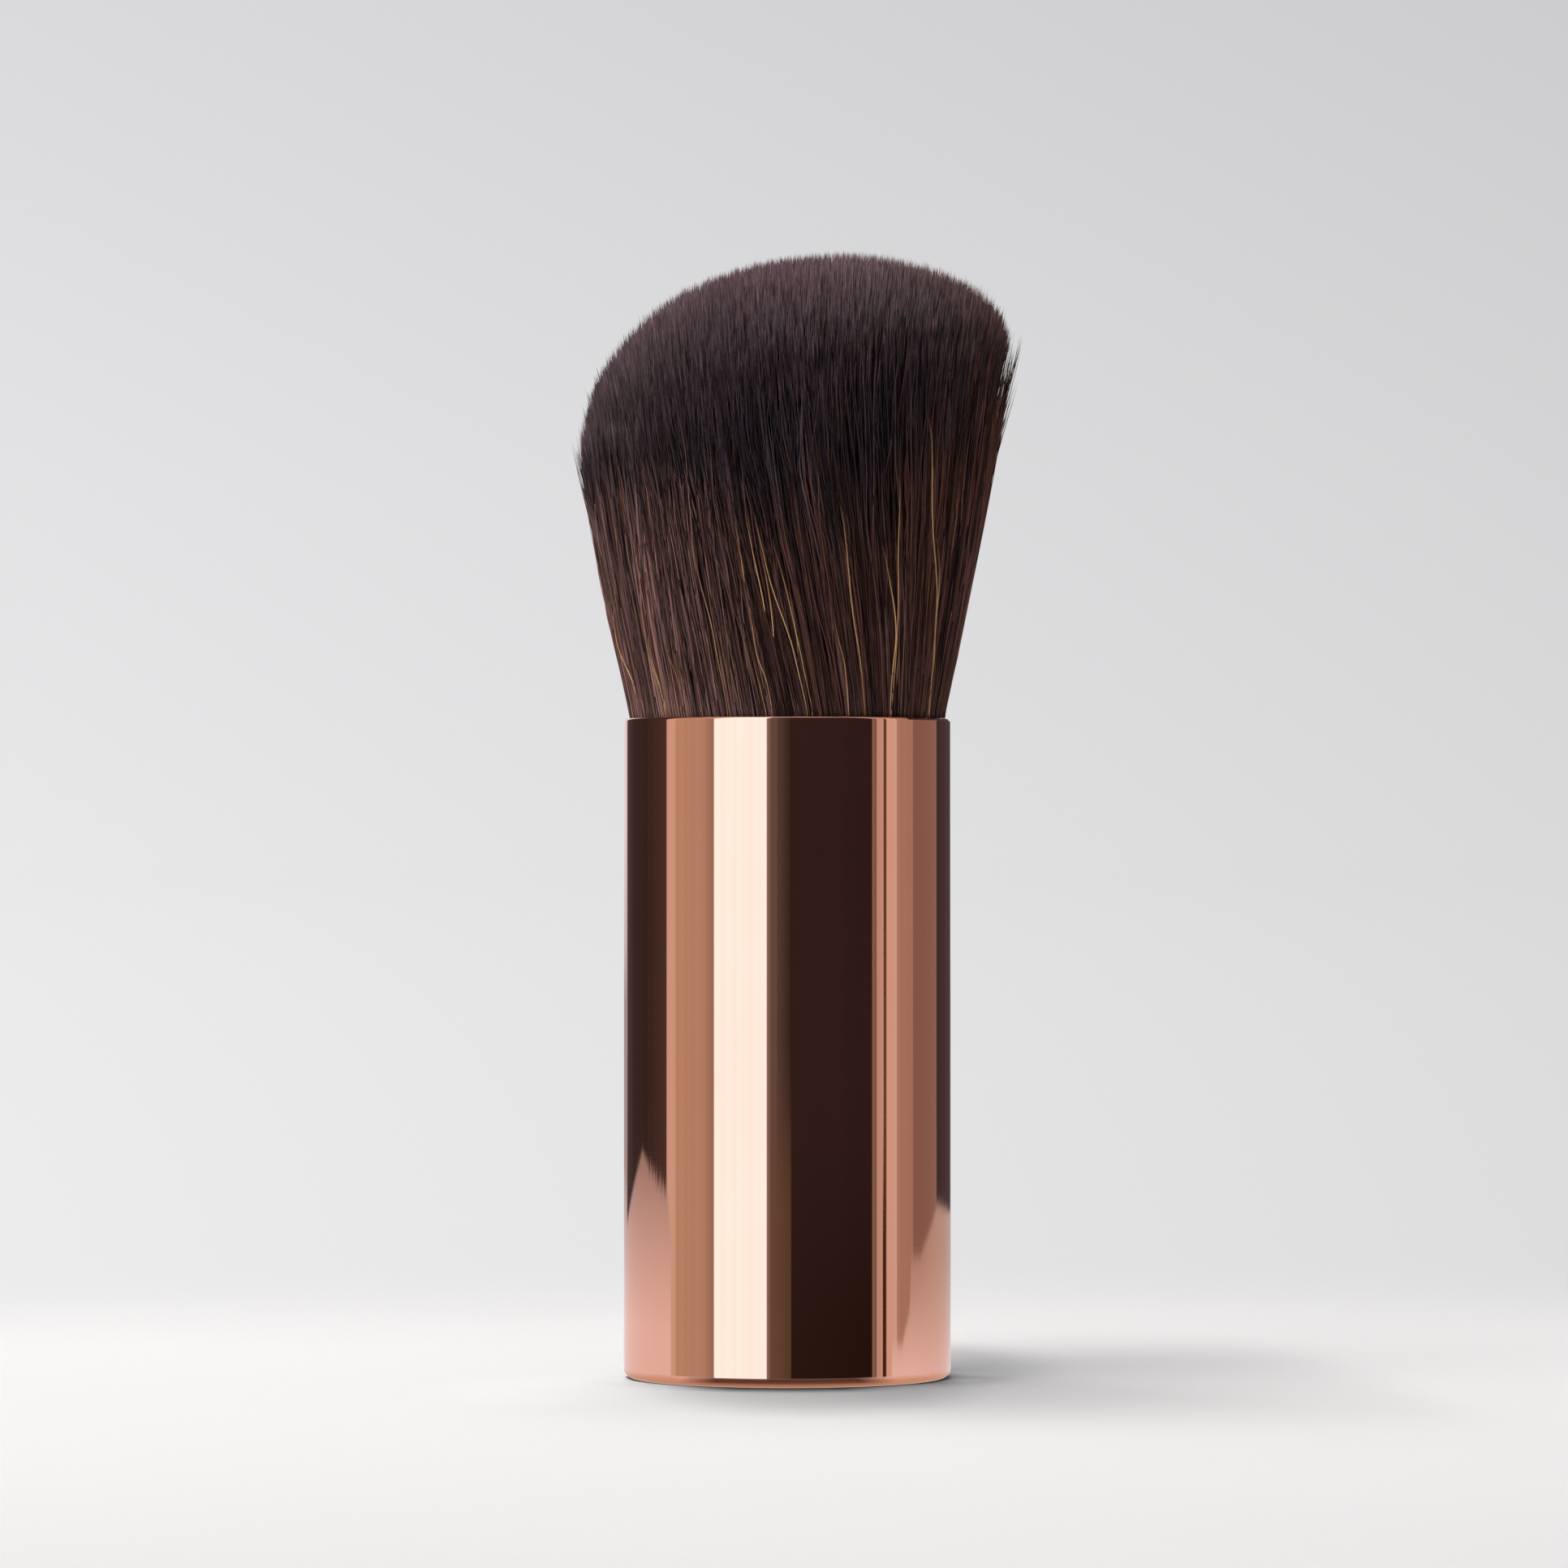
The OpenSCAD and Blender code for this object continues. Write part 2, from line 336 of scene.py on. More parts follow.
def paths(rho, th, z0, count, stretch=0.0, power=1.0):
    """Paths of many fibres as (n, count, 3), from height z0 above the rim to the tip.
    stretch lengthens a fibre beyond the tuft's surface."""
    th2, tx, ty, th_h = tip_at(rho, th)
    top = th_h + stretch
    s = (np.linspace(0, 1, count) ** power)[None, :]
    z = z0[:, None] + (top - z0)[:, None] * s
    t = np.clip(z / th_h[:, None], 0.0, 1.2)
    radial = t + 0.045 * np.sin(np.pi * np.clip(t, 0, 1))
    turn = 1 - np.clip(1 - t, 0, 1) ** 1.5
    # in polar form, so that the fibres turn round the tuft and don't cut through it
    ang = th[:, None] + (th2 - th)[:, None] * turn
    r0 = MOUTH * rho[:, None]
    x = r0 * np.cos(ang) * (1 - radial) + (LEAN + TIP_A * rho[:, None] * np.cos(ang)) * radial
    y = r0 * np.sin(ang) * (1 - radial) + (TIP_B * rho[:, None] * np.sin(ang)) * radial
    # below the rim a fibre stays inside the shell
    low = z < 0
    x = np.where(low, r0 * np.cos(th)[:, None], x)
    y = np.where(low, r0 * np.sin(th)[:, None], y)
    return np.stack([x, y, z], axis=-1), t


def wave(rng, n, t, amp, turns, low=0.0):
    """Smooth sideways wander along n fibres: two sines with their own phases."""
    a = rng.normal(0, 1, (n, 2)) * amp
    f = rng.uniform(turns[0], turns[1], (n, 2))
    p = rng.uniform(0, 2 * math.pi, (n, 2))
    env = np.clip(t, 0, 1) ** 0.7
    w = (a[:, :1] * np.sin(2 * math.pi * f[:, :1] * t + p[:, :1])
         + 0.5 * a[:, 1:] * np.sin(2 * math.pi * 2.1 * f[:, 1:] * t + p[:, 1:]))
    w0 = (a[:, :1] * np.sin(p[:, :1]) + 0.5 * a[:, 1:] * np.sin(p[:, 1:]))
    return (w - w0 * (1 - np.clip(t, 0, 1))) * (low + (1 - low) * env)


def sideways(pts):
    """Unit vectors across (tangential) and outward at each point of the paths."""
    r = np.hypot(pts[..., 0], pts[..., 1]) + 1e-6
    out = np.stack([pts[..., 0] / r, pts[..., 1] / r, np.zeros_like(r)], -1)
    across = np.stack([-out[..., 1], out[..., 0], np.zeros_like(r)], -1)
    return across, out


def tubes(name, pts, radius, column, row, mat, node=None):
    """One mesh of closed three-sided tubes round the paths. radius and row, which is
    the place in the colour map, are (n, k), and column is (n,)."""
    n, k, _ = pts.shape
    d = np.empty_like(pts)
    d[:, 1:-1] = pts[:, 2:] - pts[:, :-2]
    d[:, 0] = pts[:, 1] - pts[:, 0]
    d[:, -1] = pts[:, -1] - pts[:, -2]
    d /= np.linalg.norm(d, axis=-1, keepdims=True) + 1e-9
    _, out = sideways(pts)
    a = out - d * (out * d).sum(-1, keepdims=True)
    a /= np.linalg.norm(a, axis=-1, keepdims=True) + 1e-9
    b = np.cross(d, a)
    rings = []
    for j in range(3):
        w = 2 * math.pi * j / 3
        rings.append(pts[:, :-1] + radius[:, :-1, None]
                     * (a[:, :-1] * math.cos(w) + b[:, :-1] * math.sin(w)))
    body = np.stack(rings, axis=2).reshape(n, (k - 1) * 3, 3)
    verts = np.concatenate([body, pts[:, -1:, :]], axis=1)         # tip last
    per = verts.shape[1]
    faces, fu, fv = [], [], []
    # triangles of one fibre: the corners, their place across the column and their ring
    for i in range(k - 2):
        for j in range(3):
            p, q = i * 3 + j, i * 3 + (j + 1) % 3
            r, s = p + 3, q + 3
            faces += [(p, q, s), (p, s, r)]
            fu += [(j, j + 1, j + 1), (j, j + 1, j)]
            fv += [(i, i, i + 1), (i, i + 1, i + 1)]
    last = (k - 2) * 3
    for j in range(3):
        faces.append((last + j, last + (j + 1) % 3, per - 1))
        fu.append((j, j + 1, j + 0.5))
        fv.append((k - 2, k - 2, k - 1))
    faces.append((0, 2, 1))
    fu.append((0, 2, 1))
    fv.append((0, 0, 0.3))
    faces, fu, fv = np.array(faces), np.array(fu, float), np.array(fv, float)
    m = len(faces)
    tri = (faces[None] + (np.arange(n) * per)[:, None, None]).reshape(-1)
    me = bpy.data.meshes.new(name)
    me.vertices.add(n * per)
    verts[..., 2] += RIM
    me.vertices.foreach_set("co", (verts * MM).astype(np.float32).ravel())
    me.loops.add(n * m * 3)
    me.loops.foreach_set("vertex_index", tri.astype(np.int32))
    me.polygons.add(n * m)
    me.polygons.foreach_set("loop_start", np.arange(0, n * m * 3, 3, dtype=np.int32))
    me.polygons.foreach_set("use_smooth", np.ones(n * m, bool))
    me.update(calc_edges=True)
    uv = me.uv_layers.new(name="OFBake")
    ring = fv.reshape(-1)
    lo = np.floor(ring).astype(int)
    hi = np.minimum(lo + 1, k - 1)
    f = ring - lo
    dist = row[:, lo] * (1 - f) + row[:, hi] * f
    vv = np.clip(dist, 0.0, 1.0) * 0.98 + 0.01
    uu = (column[:, None] + 0.12 + 0.76 * fu.reshape(-1)[None] / 3) / CLASSES
    uv.data.foreach_set("uv", np.stack([uu, vv], -1).astype(np.float32).ravel())
    me.validate()
    obj = bpy.data.objects.new(name, me)
    scene.collection.objects.link(obj)
    me.materials.append(mat)
    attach(obj, "root")
    if node:
        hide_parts(node)
    return obj


def lengths_from_tip(pts):
    seg = np.linalg.norm(np.diff(pts, axis=1), axis=-1)
    back = np.cumsum(seg[:, ::-1], axis=1)[:, ::-1]
    return np.concatenate([back, np.zeros((len(pts), 1))], axis=1)


def taper(dist, full, fine, over):
    """Radius from the distance to the tip: fine at the tip, full from over on."""
    return fine[:, None] + (full - fine)[:, None] * smooth(0, 1, dist / over) ** 0.8


def degrees_round(th):
    return np.degrees(np.arctan2(np.sin(th), np.cos(th)))


def sideways_share(th):
    """How far right the fibre shows from the front, half way up: -1 to 1."""
    return np.cos(th + 0.7 * swirl(th))


def columns(rng, th, lit=None):
    """Column of each fibre's colour: 0-31 main, 32-42 warm, 43-47 edge, 48-57 soft,
    58-63 pale. The tall side is the warmest, and the short side the softest: its soft
    columns are lighter, painted light from the left. The edge columns, at the tall
    side's edge, are a painted rim light. lit is each fibre's brightness rank, from 0
    to 1, which is painted shade where it comes from how deep the fibre lies."""
    n = len(th)
    u = sideways_share(th)
    lit = rng.random(n) if lit is None else lit

    def pick(first, end, least=0.0, most=1.0):
        cols = np.arange(first, end)
        cols = cols[np.argsort(cols * GOLDEN % 1.0)]
        share = least + (most - least) * lit
        return cols[np.clip((share * len(cols)).astype(int), 0, len(cols) - 1)]

    c = pick(0, 32)
    warm = rng.random(n) < 0.85 * np.exp(-0.5 * (degrees_round(th) / 46) ** 2) + 0.07
    # painted light from the left: the short side takes the lighter soft columns
    soft = (~warm) & (rng.random(n) < 0.9 * smooth(0.1, 0.7, -u))
    pale = (~warm) & (rng.random(n) < 0.10)
    # painted rim light at the tall side's edge
    edge = rng.random(n) < 0.85 * smooth(0.74, 0.98, u)
    c = np.where(warm, pick(32, 43), c)
    c = np.where(soft, pick(48, 58, 0.12, 0.86), c)
    c = np.where(pale, pick(58, 64), c)
    return np.where(edge, pick(43, 48), c).astype(float)


def beside(th, far, run=60):
    """How much further out each fibre lies than those beside it round the tuft."""
    order = np.argsort(th)
    row = far[order]
    total = np.cumsum(np.concatenate([[0.0], row[-run:], row, row[:run]]))
    mean = (total[2 * run + 1:] - total[:-2 * run - 1]) / (2 * run + 1)
    out = np.empty(len(far))
    out[order] = row - mean
    return out


def even_rank(score):
    """Rank of each score among all, from 0 to 1."""
    r = np.empty(len(score))
    r[np.argsort(score)] = (np.arange(len(score)) + 0.5) / len(score)
    return r


def rows(rng, dist, th, rho):
    """Rows of the colour map for distances from the tip. The black stretch ends at about
    one height on each side, and the light tips are short at the tuft's edge."""
    n = len(th)
    u = sideways_share(th)
    edge = TIP_H + RISE * u
    front = np.interp(u, [-1, -0.7, -0.45, -0.2, 0.05, 0.3, 0.5, 0.8, 1],
                      [26, 25.5, 25, 23.5, 22.5, 22.5, 25.5, 29.5, 33.5])
    back = np.interp(u, [-1, -0.5, 0, 0.5, 1], [26, 24, 20, 23, 30])
    brown = np.where(np.sin(th) < 0, front, back)
    side = smooth(0.7, 1.0, -u)
    first = (0.12 * smooth(0.55, 0.93, rho) * (1 - 0.55 * side))[:, None]
    light = 3.3 - smooth(0.5, 0.95, rho) * (2.7 - 1.2 * side)
    light = light * rng.uniform(0.6, 1.4, n)
    black = np.maximum(edge - brown + rng.normal(0, 1.8, n), light + 1.5)
    full = black + rng.uniform(3.0, 8.0, n)
    x = dist
    a, b, c = light[:, None], black[:, None], full[:, None]
    return np.where(
        x < a, first + (0.15 - first) * x / a,
        np.where(x < b, 0.15 + 0.25 * (x - a) / (b - a),
                 np.where(x < c, 0.4 + 0.2 * (x - b) / (c - b),
                          0.6 + 0.4 * np.clip((x - c) / 25.0, 0, 1))))


def strand_paths(rng, th, lift, where, over, k=16):
    """Surface fibres that part from the tuft: lift is how far they stand off, where is
    the height share at which they leave, and over how far they pass its edge."""
    n = len(th)
    pts, t = paths(np.ones(n), th, np.full(n, START), k, over)
    across, out = sideways(pts)
    off = smooth(0, 1, (t - where[:, None]) / np.maximum(1.02 - where[:, None], 0.05))
    pts = pts + out * (lift[:, None] * off * np.clip(t * 4, 0, 1))[..., None] \
        + across * wave(rng, n, t, 0.15, (0.6, 1.6))[..., None]
    return pts


def build_tuft():
    rng = np.random.default_rng(11)
    main = fibre_material("fibre_brown", [(0, MAIN_STOPS), (32, WARM_STOPS),
                                          (43, PAINTED_RIM_LIGHT_STOPS), (48, PAINTED_LEFT_LIGHT_STOPS),
                                          (58, PALE_STOPS)],
                          (0.08, 0.20, 0.42, 0.72, 1.10, 1.80), (0.38, 0.56), 0.2)
    made = []

    # -- long fibres of the outer layer
    n = 9600
    rho = np.sqrt(rng.uniform(0.885 ** 2, 1.0, n))
    rho = np.where(rng.random(n) < 0.3, rng.uniform(0.955, 1.0, n), rho)
    th = rng.uniform(-math.pi, math.pi, n)
    k = 15
    jitter = np.clip(rng.normal(-0.2, 0.42, n), -1.3, 0.5) \
        - rng.exponential(0.8, n) * (rng.random(n) < 0.25)
    pts, t = paths(rho, th, np.full(n, START), k, jitter)
    across, out = sideways(pts)
    # fibres draw together into strands half way up
    m = 3400
    crho = np.sqrt(rng.uniform(0.875 ** 2, 1.0, m))
    cth = rng.uniform(-math.pi, math.pi, m)
    best = nearest(rho * np.cos(th), rho * np.sin(th), crho * np.cos(cth),
                   crho * np.sin(cth))
    cp, ct = paths(crho, cth, np.full(m, START), k)
    ca, co = sideways(cp)
    ease = 1 - 0.75 * smooth(0.72, 1.0, ct)
    drift = (wave(rng, m, ct, 0.30, (0.5, 1.5))
             + rng.normal(0, 0.50, m)[:, None] * np.clip(ct, 0, 1)) * ease
    depth = wave(rng, m, ct, 0.17, (0.5, 1.4)) * ease
    cmove = ca * drift[..., None] + co * depth[..., None]
    joined = rng.uniform(0.1, 0.8, n)
    pull = np.sin(np.pi * np.clip(t / 1.2, 0, 1)) ** 0.9 * joined[:, None]
    pts = pts + (cp[best] - pts) * pull[..., None] * np.array([1, 1, 0]) \
        + cmove[best] * np.clip(t * 3, 0, 1)[..., None]
    # each fibre's own wander and slant
    strong = rng.random(n) < 0.4
    slant = np.where(strong, rng.normal(0, 1.7, n), rng.normal(0, 0.45, n))
    bow = rng.uniform(0.8, 2.6, n)
    own = wave(rng, n, t, 0.17, (0.8, 2.4))
    own2 = wave(rng, n, t, 0.12, (0.9, 2.6), 0.3)
    pts = pts + across * (own + slant[:, None] * np.clip(t, 0, 1) ** bow[:, None]
                          )[..., None] + out * own2[..., None]
    # the tall side is a little hollow under its edge
    z = pts[..., 2]
    hollow = 0.87 * np.exp(-0.5 * (degrees_round(th) / 13) ** 2)[:, None] \
        * smooth(20, 27, z) * (1 - smooth(36, 39.5, z))
    pts = pts - out * hollow[..., None]
    keep_inside(pts)
    dist = lengths_from_tip(pts)
    rad = taper(dist, rng.uniform(0.070, 0.108, n), rng.uniform(0.018, 0.026, n), 7.0)
    # painted shade: the fibres that lie deeper than those beside them get darker columns,
    # standing for the light they lose
    middle = slice(k // 4, 3 * k // 4)
    high = beside(th, np.hypot(pts[:, middle, 0] / TIP_A, pts[:, middle, 1] / TIP_B)
                  .mean(1) * TIP_A)
    col = columns(rng, th, even_rank(high + rng.normal(0, 0.28, n)) ** 2.2)
    ccol = columns(rng, cth, rng.random(m) ** 0.8)
    col = np.where(rng.random(n) < 0.2, ccol[best], col)
    shade = rows(rng, dist, th, rho)
    for i, part in enumerate(np.array_split(np.argsort(th), 4)):
        made.append(tubes(f"tuft_outer_{i + 1}", pts[part], rad[part], col[part],
                          shade[part], main, "bristle_tuft"))

    # -- inner fibres: only their last stretch shows, on the dome
    n = 44000
    rho = np.sqrt(rng.uniform(0.0, 0.955 ** 2, n))
    th = rng.uniform(-math.pi, math.pi, n)
    _, _, _, top = tip_at(rho, th)
    jitter = np.clip(rng.normal(-0.3, 0.42, n), -1.5, 0.35)
    k = 5
    pts, t = paths(rho, th, top - rng.uniform(9.0, 12.0, n), k, jitter)
    s = np.linspace(0, 1, k)[None]
    tilt = rng.normal(0, 0.30, (n, 2))
    for c in range(2):
        pts[..., c] += tilt[:, c, None] * (s - 0.3) * 1.6
    # tips that lie together
    m = 5000
    crho = np.sqrt(rng.uniform(0, 0.96 ** 2, m))
    cth = rng.uniform(-math.pi, math.pi, m)
    _, gx, gy, _ = tip_at(crho, cth)
    bend = rng.normal(0, 0.12, (m, 2))
    best = nearest(pts[:, -1, 0], pts[:, -1, 1], gx, gy)
    pull = rng.uniform(0.0, 0.5, n)[:, None] * s ** 1.5
    for c, g in ((0, gx), (1, gy)):
        pts[..., c] += (g[best] - pts[:, -1, c])[:, None] * pull \
            + bend[best, c][:, None] * s
    dist = lengths_from_tip(pts)
    rad = taper(dist, rng.uniform(0.055, 0.085, n), rng.uniform(0.016, 0.024, n), 2.5)
    # painted shade: tips that lie lower than their neighbours get darker columns
    col = columns(rng, th, even_rank(jitter + rng.normal(0, 0.40, n)))
    col = np.where(rng.random(n) < 0.15, columns(rng, cth)[best], col)
    shade = rows(rng, dist, th, rho)
    for i, part in enumerate(np.array_split(np.argsort(th), 6)):
        made.append(tubes(f"tuft_dome_{i + 1}", pts[part], rad[part], col[part],
                          shade[part], main))

    # -- strays on the surface, and flyaways that leave it: most at the two ends, in
    # small groups, and a few all round
    n = 320
    th = rng.uniform(-math.pi, math.pi, n)
    k = 14
    pts, t = paths(np.ones(n), th, np.full(n, START), k, rng.normal(-1.0, 1.6, n))
    across, out = sideways(pts)
    slant = rng.normal(0, 1.6, n)
    pts = pts + across * (slant[:, None] * t ** 1.2
                          + wave(rng, n, t, 0.22, (0.6, 1.8)))[..., None] \
        + out * 0.05
    keep_inside(pts)
    dist = lengths_from_tip(pts)
    rad = taper(dist, rng.uniform(0.05, 0.075, n), np.full(n, 0.014), 12.0)
    made.append(tubes("tuft_strays", pts, rad, columns(rng, th, 0.75 * rng.random(n)),
                      rows(rng, dist, th, np.ones(n)), main))
    th, lift, where, over = [], [], [], []
    for middle, spread, count, far, leave, more in (
            (2, 12, 17, 1.0, 0.80, 0.8), (-16, 8, 10, 0.8, 0.8, 0.9),
            (24, 9, 10, 0.8, 0.78, 0.5), (1, 4, 9, 1.5, 0.66, -4.0),
            (0, 9, 16, 0.35, 0.5, -1.0), (0, 5, 7, 0.9, 0.45, -12.0),
            (181, 6, 7, 0.9, 0.5, -9.0),
            (182, 13, 18, 0.8, 0.66, 0.3),
            (-160, 8, 6, 0.6, 0.7, 0.3), (0, 180, 46, 0.6, 0.7, 0.0)):
        for _ in range(count):
            th.append(math.radians(middle + rng.uniform(-spread, spread)))
            lift.append(far * rng.uniform(0.25, 1.0))
            where.append(leave + rng.normal(0, 0.05))
            over.append(more + np.clip(rng.normal(0, 0.7), -2, 0.8))
    th = np.array(th)
    pts = strand_paths(rng, th, np.array(lift), np.array(where), np.array(over))
    keep_inside(pts)
    dist = lengths_from_tip(pts)
    n = len(th)
    rad = taper(dist, rng.uniform(0.05, 0.075, n), np.full(n, 0.015), 10.0)
    made.append(tubes("tuft_flyaways", pts, rad, columns(rng, th),
                      rows(rng, dist, th, np.ones(n)), main))
    return made


def keep_inside(pts):
    """Pulls points back to the shell's mouth near the rim, where the shell holds them."""
    r = np.hypot(pts[..., 0], pts[..., 1])
    near = 1 - smooth(3, 8, pts[..., 2])
    want = np.minimum(r, MOUTH - 0.02 + np.clip(pts[..., 2], 0, None) * 0.22)
    f = 1 + (want / np.maximum(r, 1e-6) - 1) * near
    pts[..., 0] *= f
    pts[..., 1] *= f


def nearest(px, py, gx, gy, block=3000):
    best = np.empty(len(px), int)
    for i in range(0, len(px), block):
        j = slice(i, i + block)
        best[j] = np.argmin((px[j, None] - gx[None]) ** 2 + (py[j, None] - gy[None]) ** 2, 1)
    return best


def build_core():
    """Closed dark body just under the visible fibres: painted shade for the deep fibres."""
    seg, side, cap = 96, 14, 14
    rings = []
    for i in range(side + 1):
        t = i / side
        th = np.linspace(-math.pi, math.pi, seg, endpoint=False)
        pts, _ = paths(np.full(seg, 0.885), th, np.full(seg, START + 1.2), side + 1)
        rings.append(pts[:, i] * np.array([1, 1, 1]))
    base = rings[-1].copy()
    shrink = []
    for ring_i in range(side + 1):
        r = rings[ring_i].copy()
        f = smooth(0.55, 1.0, ring_i / side)
        r[:, 2] -= 7.0 * f * (ring_i / side)
        shrink.append(r)
    verts = list(shrink)
    th = np.linspace(-math.pi, math.pi, seg, endpoint=False)
    for i in range(1, cap):
        q = math.cos(math.radians(90 * i / cap)) * 0.885
        _, x, y, h = tip_at(np.full(seg, q), th)
        verts.append(np.stack([x, y, h - 7.0 + 2.4 * (1 - q / 0.885)], -1))
    v = np.concatenate(verts)
    rows = len(verts)
    _, x, y, h = tip_at(np.zeros(1), np.zeros(1))
    v = np.concatenate([v, [[x[0], y[0], h[0] - 4.6]], [[0, 0, START + 1.2]]])
    v[:, 2] += RIM
    faces = []
    for i in range(rows - 1):
        for j in range(seg):
            a, b = i * seg + j, i * seg + (j + 1) % seg
            faces.append((a, b, b + seg, a + seg))
    top, bottom = rows * seg, rows * seg + 1
    for j in range(seg):
        faces.append(((rows - 1) * seg + j, (rows - 1) * seg + (j + 1) % seg, top))
        faces.append(((j + 1) % seg, j, bottom))
    me = bpy.data.meshes.new("tuft_core")
    me.from_pydata([tuple(p * MM) for p in v], [], faces)
    me.polygons.foreach_set("use_smooth", np.ones(len(faces), bool))
    me.update()
    obj = bpy.data.objects.new("tuft_core", me)
    scene.collection.objects.link(obj)
    me.materials.append(dark_core())
    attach(obj, "root")
    return obj


def on_front(x, h):
    """Angle round the tuft of the point on its front whose sideways place is x at
    height h above the rim."""
    t = np.clip(h / TIP_H, 0, 1)
    r = t + 0.045 * np.sin(np.pi * t)
    c = (x - LEAN * r) / (MOUTH * (1 - r) + TIP_A * r)
    return -np.arccos(np.clip(c, -0.999, 0.999))


def skin(th, h):
    """Point on the tuft's surface at angle th and height h."""
    t = np.clip(h / (TIP_H + RISE * np.cos(th)), 0, 1)
    r = t + 0.045 * np.sin(np.pi * t)
    x = MOUTH * np.cos(th) * (1 - r) + (LEAN + TIP_A * np.cos(th)) * r
    y = MOUTH * np.sin(th) * (1 - r) + TIP_B * np.sin(th) * r
    return np.stack([x, y, h], -1)


# Lighter filaments on the front: heights above the rim and where each is there,
# sideways, in millimetres. Below its first height a filament lies under the others.
FILAMENTS = [
    ((0, -15.0), (4, -15.9), (8, -16.9), (11, -17.3), (15, -17.5)),
    ((12, -17.5), (13, -17.7), (15, -18.1), (16, -18.2)),
    ((0, -12.2), (3, -13.0), (5, -13.6), (9, -14.2), (12, -14.8), (14, -15.1)),
    ((0, -12.4), (4, -13.2), (9, -13.9), (11, -14.2)),
    ((0, -10.5), (3, -10.9), (5, -11.1), (9, -11.8), (11, -12.1)),
    ((3, -10.9), (6, -11.8), (8, -12.5), (10, -12.8)),
    ((0, -6.0), (4, -6.7), (8, -7.3), (14, -8.7), (18, -9.5), (21, -10.0)),
    ((0, -2.1), (3, -2.8), (5, -3.3), (8, -4.0)),
    ((0, -1.5), (3, -1.9), (5, -2.6), (6, -3.2), (9, -3.4), (12, -4.1), (16, -4.8)),
    ((0, 2.2), (4, 1.2), (8, 0.3), (11, -0.9), (14, -1.9), (18, -2.7), (20, -3.3),
     (23, -3.9)),
    ((0, 2.7), (4, 1.8), (7, 1.2), (9, 0.7), (11, 0.3), (14, -0.4), (16, -1.0),
     (18, -1.6), (20, -2.4)),
    ((7, 1.1), (9, 0.8), (10, 0.6), (12, 0.4), (14, -0.2), (15.5, -0.3)),
    ((11, -2.2), (13, -2.7), (16, -3.3), (19, -3.9), (23, -4.8)),
    ((9, -1.4), (11, -1.6), (15, -2.3), (17, -2.9), (19, -3.3)),
    ((14, -4.3), (16, -4.6), (18, -5.0), (22, -5.6)),
    ((0, 6.3), (3, 6.1), (6, 5.7), (8, 5.0), (11, 4.6), (13, 4.4)),
    ((0, 8.0), (5, 7.5), (9, 6.8), (13, 6.3), (17, 5.9), (21, 5.5), (24, 5.0)),
    ((0, 10.5), (4, 10.7), (8, 11.0), (11, 10.8), (16, 10.0), (20, 9.6)),
    ((0, 10.6), (6, 11.1), (14, 11.2), (18, 11.4), (22, 11.4), (27, 11.4)),
    ((0, 14.4), (3, 14.9), (9, 15.1), (13, 15.3), (17, 15.1), (22, 14.9), (33, 14.6)),
    ((0, 14.6), (14, 15.5), (17, 15.6), (21, 15.8)),
]


def build_amber():
    """Lighter fibres in the outer layer. Each weaves in and out of the brown ones."""
    rng = np.random.default_rng(5)
    stops = [(0.0, (0.08, 0.038, 0.026)), (0.15, (0.17, 0.078, 0.040)),
             (0.40, (0.48, 0.240, 0.108)), (0.7, (0.80, 0.455, 0.220)),
             (1.0, (0.74, 0.405, 0.190))]
    mat = fibre_material("fibre_amber", [(0, stops)], (0.55, 0.9, 1.3), (0.28, 0.42),
                         0.4)
    k = 24
    place, shown = [], []
    for knots in FILAMENTS:
        kh, kx = np.array(knots, float).T
        top = kh[-1]
        h = np.linspace(START, top, k)
        # a smooth line through the knots
        fine = np.interp(h, kh, kx)
        for _ in range(3):
            fine[1:-1] = 0.25 * fine[:-2] + 0.5 * fine[1:-1] + 0.25 * fine[2:]
        place.append((on_front(fine, np.clip(h, 0, None)), h))
        shown.append(kh[0])
    # the same kind of filament round the sides and the back, and faint short ones
    for i in range(40):
        th0 = math.radians(rng.uniform(8, 172) if i < 30 else rng.uniform(-172, -8))
        top = rng.uniform(7, 26) if i < 30 else rng.uniform(4, 12)
        h = np.linspace(START, top, k)
        t = np.clip(h / TIP_H, 0, 1)
        turn = float(swirl(np.array(th0))) * (1 - (1 - t) ** 1.5)
        bend = rng.normal(0, 0.02) * t * 3 + rng.normal(0, 0.012) * np.sin(
            h * rng.uniform(0.3, 0.6) + rng.uniform(0, 6.3)) * t * 2
        place.append((th0 + turn + bend, h))
        shown.append(0.0)
    n = len(place)
    pts = np.stack([skin(th, h) for th, h in place])
    h = pts[..., 2].copy()
    for i, (th, hh) in enumerate(place):
        low = hh < 0
        pts[i, low, 0] = MOUTH * np.cos(th[low])
        pts[i, low, 1] = MOUTH * np.sin(th[low])
    _, out = sideways(pts)
    top = h[:, -1:]
    start = rng.uniform(0, 6.3, (n, 1))
    weave = 0.13 * np.sin(h * rng.uniform(0.35, 0.7, (n, 1)) + start) + 0.24 \
        + 0.20 * np.abs(np.sin(np.stack([th for th, _ in place])))
    dip = -1.0 * smooth(-4.5, 0.0, h - top)
    from_ = np.array(shown)[:, None]
    dip = dip - 1.1 * np.where(from_ > 0, 1 - smooth(-2.5, 1.0, h - from_), 0.0)
    # on the short side the fibres stand off more, and so do these
    weave = weave + 0.26 * smooth(8, 14, -pts[..., 0])
    pts = pts + out * ((weave + dip) * np.clip((h + 0.5) / 3.0, 0, 1))[..., None]
    keep_inside(pts)
    dist = lengths_from_tip(pts)
    rad = taper(dist, rng.uniform(0.061, 0.087, n), np.full(n, 0.02), 8.0)
    row = np.clip(dist / 16.0, 0, 1)
    col = rng.integers(0, CLASSES, n).astype(float)
    return tubes("amber_filaments", pts, rad, col, row, mat,
                 "amber_fibres")


# ---------------------------------------------------------------- studio

